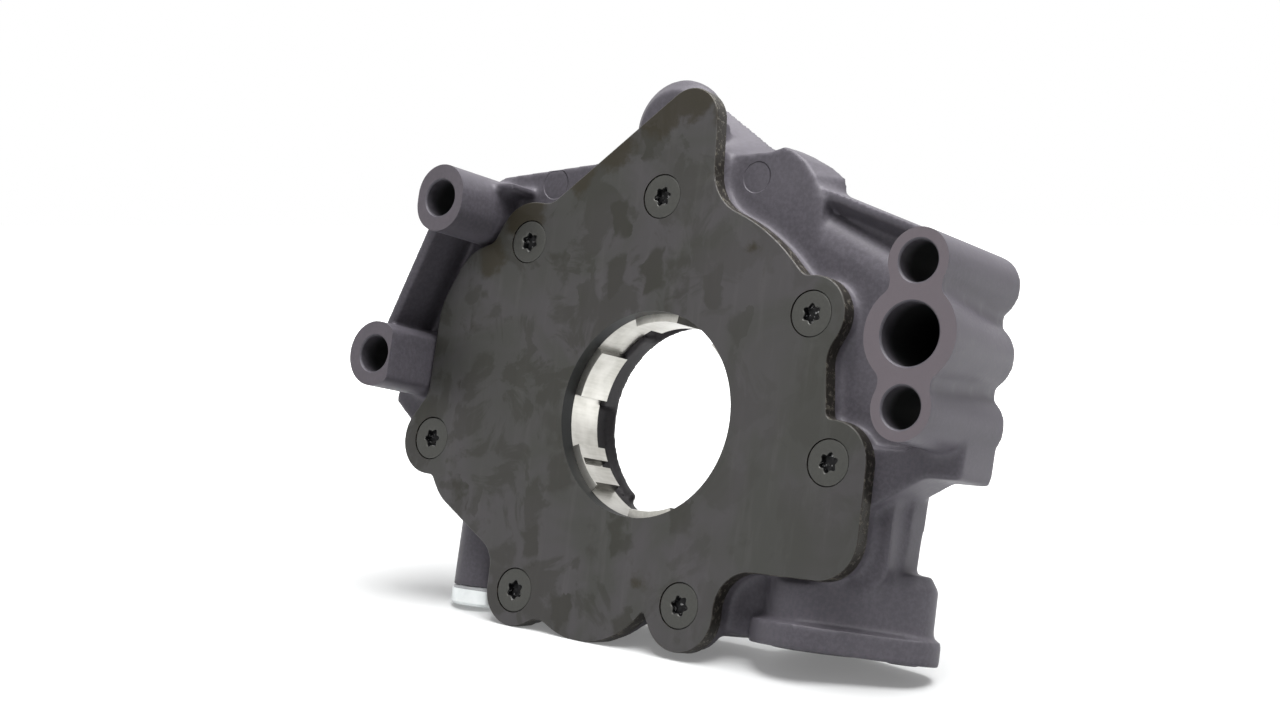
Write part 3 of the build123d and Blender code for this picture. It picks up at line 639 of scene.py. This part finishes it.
# %% Black oxide steel
def black_oxide_steel():
    """Olive black satin steel with smears, brown stains, wiped streaks and a rough sheared edge."""
    material, tree, shader, place = new_finish(
        "black_oxide_steel", 0.45, 0.42, **{"Specular IOR Level": 0.4},
    )
    x, y, z = in_mm(tree, place)
    sheared = stepped(tree, away_from(tree, x, z, 0, 0), crank_relief_r, crank_relief_r + 0.5)
    front = facing(tree, 0.6, 0.9)
    drift = grain(tree, place, 34, detail=3, distortion=1.2)
    along = add_node(tree, "ShaderNodeMapping", {
        "Vector": place, "Rotation": (0.0, 0.6, 0.0), "Scale": (1.0, 1.0, 0.12),
    })
    wiped = stepped(tree, grain(tree, along.outputs[0], 3.5, detail=4, roughness=0.6), 0.5, 0.72)
    stains = thick_stains(tree, place, x, z)
    base = blend_colours(tree, stepped(tree, drift, 0.35, 0.65), "#4b494a", "#434340")
    base = blend_colours(tree, calculate(tree, "MULTIPLY", wiped, 0.22), base, "#5c5a5a")
    smears = calculate(tree, "MULTIPLY", oil_smears(tree, place, x), 0.8)
    base = blend_colours(tree, smears, base, "#2e2d26")
    base = blend_colours(tree, calculate(tree, "MULTIPLY", stains, 0.8), base, "#2f2a1d")
    specks = stepped(tree, grain(tree, place, 1.6, detail=4, roughness=0.7), 0.52, 0.66)
    specks = calculate(tree, "MULTIPLY", specks, sheared)
    edge = blend_colours(tree, specks, blend_colours(tree, sheared, "#0c0e0e", "#2d2a26"), "#5f5b52")
    tree.links.new(blend_colours(tree, front, edge, base), shader.inputs["Base Color"])
    satin = stepped(tree, drift, 0.4, 0.65, 0.42, 0.5)
    rough = calculate(tree, "SUBTRACT", satin, calculate(tree, "MULTIPLY", stains, 0.06))
    tree.links.new(rough, shader.inputs["Roughness"])
    burrs = calculate(tree, "MULTIPLY", specks, stepped(tree, front, 0.0, 1.0, 0.12, 0.0))
    sheet = calculate(tree, "MULTIPLY", grain(tree, place, 0.9), 0.012)
    add_bump(tree, shader, calculate(tree, "ADD", burrs, sheet), 1.0, 0.8)
    return material


finishes["cover_steel"] = black_oxide_steel()
print("black oxide steel has", len(finishes["cover_steel"].node_tree.nodes), "nodes")


# %% [markdown]
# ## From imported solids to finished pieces
#
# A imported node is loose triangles. A copy of it is merged, shaded smooth where its faces turn gently,
# and finished further where a piece needs it. The finished mesh then rides on the node's body, stands
# for the node and takes the node's finish.

# %% Tools for pieces
node_slots = {part["node"]: part["material_slot"] for part in record["subparts"]}
node_bodies = {node: body for body, nodes in record["behaviour"]["bodies"].items() for node in nodes}
merge_mm = 0.001


def cleaned(mesh, outwards=False):
    """Merges a mesh's doubled points, and turns its faces outwards if asked to."""
    work = bmesh.new()
    work.from_mesh(mesh)
    bmesh.ops.remove_doubles(work, verts=work.verts, dist=merge_mm * MM)
    if outwards:
        bmesh.ops.recalc_face_normals(work, faces=work.faces)
    work.to_mesh(mesh)
    work.free()
    return mesh


def merged_copy(node):
    """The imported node's mesh with its doubled points merged."""
    mesh = frame["nodes"][node].data.copy()
    if "custom_normal" in mesh.attributes:
        mesh.attributes.remove(mesh.attributes["custom_normal"])
    return cleaned(mesh)


def shade(mesh, sharp_angle):
    """Smooth shading that keeps edges sharper than an angle in degrees."""
    mesh.polygons.foreach_set("use_smooth", np.ones(len(mesh.polygons), dtype=bool))
    mesh.set_sharp_from_angle(angle=math.radians(sharp_angle))


def stand_for(mesh, name, node):
    """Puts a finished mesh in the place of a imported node, on its body and with its finish."""
    piece = bpy.data.objects.new(name, mesh)
    scene.collection.objects.link(piece)
    mesh.materials.clear()
    mesh.materials.append(finishes[node_slots[node]])
    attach(piece, node_bodies[node])
    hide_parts(node)
    return piece


print(len(node_slots), "nodes on the bodies", sorted(set(node_bodies.values())))


# %% [markdown]
# ## Turned shapes
#
# Plugs and drills for the housing are turned shapes: a profile of radii and depths, carried round an
# axis. Worked out as whole arrays, one function makes them all.

# %% Turned shapes
turned_points = 72


def make_mesh(name, points_mm, faces):
    """A mesh from points in millimetres and an array of quads."""
    mesh = bpy.data.meshes.new(name)
    points = np.asarray(points_mm, dtype=np.float32) * MM
    faces = np.asarray(faces, dtype=np.int32)
    corners = faces.shape[1]
    mesh.vertices.add(len(points))
    mesh.vertices.foreach_set("co", points.ravel())
    mesh.loops.add(faces.size)
    mesh.loops.foreach_set("vertex_index", faces.ravel())
    mesh.polygons.add(len(faces))
    mesh.polygons.foreach_set("loop_start", np.arange(0, faces.size, corners, dtype=np.int32))
    mesh.update(calc_edges=True)
    mesh.validate()
    return mesh


def grid_faces(rows, columns):
    """Quads of a grid whose columns close on themselves."""
    row, column = np.meshgrid(np.arange(rows - 1), np.arange(columns), indexing="ij")
    row, column = row.ravel(), column.ravel()
    beside = (column + 1) % columns
    return np.stack([
        row * columns + column, (row + 1) * columns + column,
        (row + 1) * columns + beside, row * columns + beside,
    ], axis=1)


def turned(name, centre_mm, axis, profile):
    """Turns (radius, depth) pairs round an axis: centre - depth * axis + radius * (cos a, sin a)."""
    axis = np.array(axis, dtype=float)
    side = np.array((0.0, 0.0, 1.0)) if abs(axis[2]) < 0.5 else np.array((1.0, 0.0, 0.0))
    other = np.cross(axis, side)
    angle = np.linspace(0, 2 * np.pi, turned_points, endpoint=False)[None, :, None]
    radius, depth = (np.array(values)[:, None, None] for values in zip(*profile))
    points = np.array(centre_mm) - depth * axis + radius * (np.cos(angle) * side + np.sin(angle) * other)
    mesh = make_mesh(name, points.reshape(-1, 3), grid_faces(len(profile), turned_points))
    return cleaned(mesh, outwards=True)


print("a turned shape has", turned_points, "points round each circle")


# %% [markdown]
# ## Plugs and drills of the housing
#
# A die casting has no sharp edge and no sharp corner, because the molten metal has to flow and the part
# has to leave its die, while its bores are crisp, because they are drilled later. A bevel on every edge
# would fail where so many walls of different slopes meet. So the housing is made as a foundry makes it:
# its bores are plugged and its faces get some stock, it is cast as one soft skin, and then it is milled
# and drilled at the places and sizes that the record gives.

# %% Plugs and drills of the stated bores
milling_stock = 1.2
plug_wall = 0.4
plug_short = 0.5
bore_chamfer = 0.45
drilled = [
    (np.array(mount["pos_m"]) / MM, mount["axis"], mount["dims"]["r_mm"], mount["dims"]["length_mm"])
    for mount in record["mounts"] if mount["kind"] in ("bore", "threaded_hole")
]


def plug_profile(r, long):
    """A cylinder a little wider than the bore, from the stock's face to just before the bore's end."""
    wide, end = r + plug_wall, long - plug_short
    return [(0, -milling_stock), (wide, -milling_stock), (wide, end), (0, end)]


def drill_profile(r, long):
    """A drill with a cone that chamfers the mouth, and a point half as long as it is wide."""
    mouth, end = r + bore_chamfer, long + 0.02
    return [(0, -3), (mouth + 2.5, -2.5), (mouth, 0), (r, bore_chamfer), (r, end), (0, end + r / 2)]


plugs = [turned("plug", centre, axis, plug_profile(r, long)) for centre, axis, r, long in drilled]
drills = [turned("drill", centre, axis, drill_profile(r, long)) for centre, axis, r, long in drilled]
print(len(plugs), "plugs and", len(drills), "drills")


# %% Pocket of the rotors, relief valve and tapped holes
running_gap = 0.08
sliding_gap = 0.05
# The cuts start in front of the face that the cover sits on
cut_from_y = 3.0
pocket_depth = 13.6
tapped_profile = [(0, 0), (3.0, 0), (3.0, 14.9), (0, 16.2)]
thread_r = 7.98
thread_end_gap = 0.3
over_cut = 1.0


def cylinder(r, long):
    """The profile of a plain cylinder."""
    return [(0, 0), (r, 0), (r, long), (0, long)]


def bore_round(node, gap, axis, start_mm, long):
    """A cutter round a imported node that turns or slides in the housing."""
    low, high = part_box(node)
    middle = np.array((low + high) / 2) / MM
    middle[1 if axis[1] else 2] = start_mm
    return turned(node + "_bore", middle, axis, cylinder((high.x - low.x) / 2 / MM + gap, long))


boss_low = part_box("relief_plug_seal")[1].z / MM
piston_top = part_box("relief_piston")[1].z / MM
drills.append(bore_round("outer_rotor", running_gap, (0, -1, 0), cut_from_y, pocket_depth))
drills.append(bore_round(
    "relief_piston", sliding_gap, (0, 0, -1), boss_low - over_cut, piston_top - boss_low + over_cut,
))
for number in range(1, 8):
    low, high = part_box(f"cover_screw_{number}")
    centre = np.array((low + high) / 2) / MM
    centre[1] = cut_from_y
    drills.append(turned("tapped_hole", centre, (0, -1, 0), tapped_profile))
thread_low, thread_high = (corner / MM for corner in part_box("relief_plug"))
thread_foot = ((thread_low.x + thread_high.x) / 2, (thread_low.y + thread_high.y) / 2, boss_low - over_cut)
thread_long = thread_high.z - boss_low + over_cut + thread_end_gap
thread_drill = turned("plug_thread", thread_foot, (0, 0, -1), cylinder(thread_r, thread_long))
print(len(plugs), "plugs and", len(drills) + 1, "drills")


# %% [markdown]
# ## Cast skin
#
# A voxel remesh turns the plugged solid into one even skin of small cells. Relaxing it rounds its outer
# edges. Its inner corners need more: there each point moves out along its normal while its neighbours
# stand higher than it does, which fills the corner with a fillet and leaves every flat face where it is.

# %% Tools for the skin
skin_cell_mm = 0.7
skin_relaxing = 3
skin_settling = 3
skin_triangles = 180_000


def with_modifiers(mesh, add_modifiers):
    """The mesh after the modifiers that a function adds to an object of it."""
    carrier = bpy.data.objects.new("carrier", mesh)
    scene.collection.objects.link(carrier)
    add_modifiers(carrier)
    result = bpy.data.meshes.new_from_object(carrier.evaluated_get(bpy.context.evaluated_depsgraph_get()))
    bpy.data.objects.remove(carrier)
    return result


def relax(carrier, rounds):
    """Moves each point halfway to the mean of its neighbours, for some rounds."""
    smooth = carrier.modifiers.new("relax", "SMOOTH")
    smooth.factor = 0.5
    smooth.iterations = rounds


def even_skin(carrier):
    """An even skin of cells, relaxed."""
    skin = carrier.modifiers.new("even_skin", "REMESH")
    skin.mode = "VOXEL"
    skin.voxel_size = skin_cell_mm * MM
    relax(carrier, skin_relaxing)


def settle(carrier):
    """A last light relaxing, after the inner corners are filled."""
    relax(carrier, skin_settling)


def thin_out(carrier):
    """Fewer triangles where the skin is flat."""
    count = len(carrier.data.polygons) * 2
    thin = carrier.modifiers.new("thin_out", "DECIMATE")
    thin.ratio = min(1.0, skin_triangles / count)


def joined(meshes, name):
    """Several meshes as one, with no welding."""
    together = bmesh.new()
    for mesh in meshes:
        together.from_mesh(mesh)
    result = bpy.data.meshes.new(name)
    together.to_mesh(result)
    together.free()
    return result


print("skin of", skin_cell_mm, "mm cells, thinned to", skin_triangles, "triangles")


# %% Filling of inner corners
def read_points(mesh):
    """The points of a mesh in millimetres."""
    points = np.empty(len(mesh.vertices) * 3, dtype=np.float32)
    mesh.vertices.foreach_get("co", points)
    return points.reshape(-1, 3) / MM


def write_points(mesh, points_mm):
    """Puts points in millimetres back into a mesh."""
    mesh.vertices.foreach_set("co", (np.asarray(points_mm) * MM).astype(np.float32).ravel())
    mesh.update()


def fill_valleys(mesh, rounds, rate=0.5, least=0.004, middle=None, reach=None):
    """Fillets in inner corners, by rounds of p = p + rate * n * max(0, (mean - p) . n - least).

    Here n is the normal at the point p and the mean is that of its neighbours.
    With a middle and a reach in millimetres the rate fades to nothing at that distance from the middle.
    """
    points = read_points(mesh).astype(float)
    if middle is not None:
        away = np.linalg.norm(points - np.array(middle), axis=1)
        rate = rate * np.clip(2 - 2 * away / reach, 0, 1)
    edges = np.empty(len(mesh.edges) * 2, dtype=np.int32)
    mesh.edges.foreach_get("vertices", edges)
    first, last = edges.reshape(-1, 2).T
    corners = np.empty(len(mesh.loops), dtype=np.int32)
    mesh.loops.foreach_get("vertex_index", corners)
    quads = corners.reshape(-1, 4)
    count = len(points)
    valence = np.bincount(first, minlength=count) + np.bincount(last, minlength=count)
    for _ in range(rounds):
        slant = np.cross(
            points[quads[:, 2]] - points[quads[:, 0]], points[quads[:, 3]] - points[quads[:, 1]],
        )
        normals = np.stack([
            sum(np.bincount(quads[:, corner], slant[:, axis], count) for corner in range(4))
            for axis in range(3)
        ], axis=1)
        normals /= np.maximum(np.linalg.norm(normals, axis=1, keepdims=True), 1e-9)
        means = np.stack([
            np.bincount(first, points[last, axis], count) + np.bincount(last, points[first, axis], count)
            for axis in range(3)
        ], axis=1) / valence[:, None]
        rise = np.sum((means - points) * normals, axis=1)
        points += (rate * np.maximum(rise - least, 0))[:, None] * normals
    write_points(mesh, points)


blank = merged_copy("housing")
blank_points = read_points(blank)
blank_points[blank_points[:, 1] < milled_y + 0.01, 1] = milled_y - milling_stock
write_points(blank, blank_points)
print("the blank has", len(blank_points), "points")


# %% Cast skin of the housing
fillet_rounds = 24
# Where the casting has larger fillets: a middle and a reach in millimetres, and rounds of filling
deep_fillets = [((14.0, 11.0, 80.0), 16.0, 60)]

housing_mesh = with_modifiers(joined([blank, *plugs], "casting"), even_skin)
print("housing skin", len(housing_mesh.polygons), "cells")
fill_valleys(housing_mesh, fillet_rounds)
for middle, reach, rounds in deep_fillets:
    fill_valleys(housing_mesh, rounds, least=0.0, middle=middle, reach=reach)
housing_mesh = with_modifiers(housing_mesh, settle)
housing_mesh = with_modifiers(housing_mesh, thin_out)
print("housing skin", len(housing_mesh.polygons), "faces after thinning")


# %% [markdown]
# ## Milling and drilling
#
# Now the casting goes to the machine shop. One plane cuts the stock off the mounting faces, and exact
# booleans with the drills cut every bore, so that its wall is round and its edges are sharp where the
# rest of the skin is soft.

# %% Milling and drilling
def mill_front(mesh):
    """Cuts the stock off at the mounting plane and closes the cut."""
    part = bmesh.new()
    part.from_mesh(mesh)
    everything = part.verts[:] + part.edges[:] + part.faces[:]
    cut = bmesh.ops.bisect_plane(
        part, geom=everything, plane_co=(0, milled_y * MM, 0), plane_no=(0, -1, 0), clear_outer=True,
    )
    rim = [item for item in cut["geom_cut"] if isinstance(item, bmesh.types.BMEdge)]
    filled = bmesh.ops.holes_fill(part, edges=rim, sides=0)
    print("milled faces", len(filled["faces"]))
    bmesh.ops.triangulate(part, faces=filled["faces"])
    part.to_mesh(mesh)
    part.free()
    return mesh


def drill(mesh, cutter):
    """The mesh with a cutter's shape taken away."""
    tool = bpy.data.objects.new("tool", cutter)
    scene.collection.objects.link(tool)

    def cut(carrier):
        """One exact cut."""
        boolean = carrier.modifiers.new("cut", "BOOLEAN")
        boolean.operation = "DIFFERENCE"
        boolean.solver = "EXACT"
        boolean.object = tool

    result = with_modifiers(mesh, cut)
    bpy.data.objects.remove(tool)
    return result


housing_mesh = mill_front(housing_mesh)
housing_mesh = drill(housing_mesh, joined(drills, "drills"))
housing_mesh = drill(housing_mesh, thread_drill)
shade(housing_mesh, 42)
stand_for(housing_mesh, "die_cast_housing", "housing")
print("housing", len(housing_mesh.polygons), "faces after drilling")


# %% [markdown]
# ## Cover, rotors, relief piston, plug and washer
#
# These pieces are stamped, ground or turned, so on the real pump their edges are crisp and their packed
# shapes are already right. A copy with smooth shading between its sharp edges is all that they need.

# %% Cover, rotors, relief piston, plug and washer
crisp_nodes = (
    "cover_plate", "inner_rotor", "outer_rotor", "relief_piston", "relief_plug", "relief_plug_seal",
)
for node in crisp_nodes:
    mesh = merged_copy(node)
    shade(mesh, 28)
    stand_for(mesh, "finished_" + node, node)
    print(node, len(mesh.polygons), "faces")


# %% [markdown]
# ## Cover screws
#
# The cover is held by countersunk screws with a six-lobed socket. A socket could be cut with a boolean,
# but one surface is cleaner: rows of points go from the middle of the socket's floor up its wall, over
# the head and down the cone and shank. Each row is a ring, whose radius swells and shrinks six times
# near the socket, so that its flanks are soft, as a punch leaves them.

# %% Cover screws
screw_turns = (12, 40, 5, 28, 50, 20, 33)
ring_points = 96
socket_lobes = 6
socket_mean_r = 2.38
socket_swing = 0.36
# Each row is (mean radius, depth along Y, share of the socket's lobes), in millimetres
screw_rows = np.array([
    (0.0, 2.75, 0.0), (1.4, 2.45, 0.6), (socket_mean_r - 0.12, 2.3, 1.0), (socket_mean_r, 2.1, 1.0),
    (socket_mean_r, 0.5, 1.0), (socket_mean_r + 0.1, 0.26, 1.0), (socket_mean_r + 0.34, 0.13, 0.9),
    (socket_mean_r + 0.7, 0.1, 0.5), (4.2, 0.1, 0.0), (5.7, 0.1, 0.0), (5.98, 0.13, 0.0), (6.1, 0.25, 0.0),
    (6.15, 0.4, 0.0), (6.15, 0.7, 0.0), (2.95, 3.9, 0.0), (2.9, 4.2, 0.0), (2.9, 15.4, 0.0),
    (2.4, 15.95, 0.0), (0.0, 15.98, 0.0),
])


def screw_mesh(name, centre_x, centre_z, turn):
    """A ring for each row, at radius = mean + share * swing * cos(6 * (angle - turn))."""
    angle = np.linspace(0, 2 * np.pi, ring_points, endpoint=False)[None, :]
    mean, depth, share = (screw_rows[:, i][:, None] for i in range(3))
    radius = mean + share * socket_swing * np.cos(socket_lobes * (angle - math.radians(turn)))
    points = np.stack([
        centre_x + radius * np.cos(angle),
        depth + 0 * angle,
        centre_z + radius * np.sin(angle),
    ], axis=2)
    mesh = make_mesh(name, points.reshape(-1, 3), grid_faces(len(screw_rows), ring_points))
    return cleaned(mesh, outwards=True)


for number, turn in enumerate(screw_turns, start=1):
    low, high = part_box(f"cover_screw_{number}")
    middle = (low + high) / 2 / MM
    mesh = screw_mesh(f"screw_{number}", middle.x, middle.z, turn)
    shade(mesh, 40)
    stand_for(mesh, f"countersunk_screw_{number}", f"cover_screw_{number}")
print(len(screw_turns), "screws of", len(mesh.polygons), "faces")


# %% [markdown]
# ## Relief spring
#
# The relief valve's spring stands on the plug and shortens as the piston comes down on it. A rigid coil
# would run through the piston. Here the coil is a copy of the imported one, shaded smooth and given a
# mesh of its own, and it stays rigid.

# %% Relief spring
spring_mesh = merged_copy("relief_spring")
shade(spring_mesh, 40)
spring = stand_for(spring_mesh, "coiled_relief_spring", "relief_spring")
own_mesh(spring)


# %% [markdown]
# ## View transform
#
# Dressing the pump must not change its size. The render shows colours through the standard view
# transform.

# %% View transform
scene.view_settings.view_transform = "Standard"
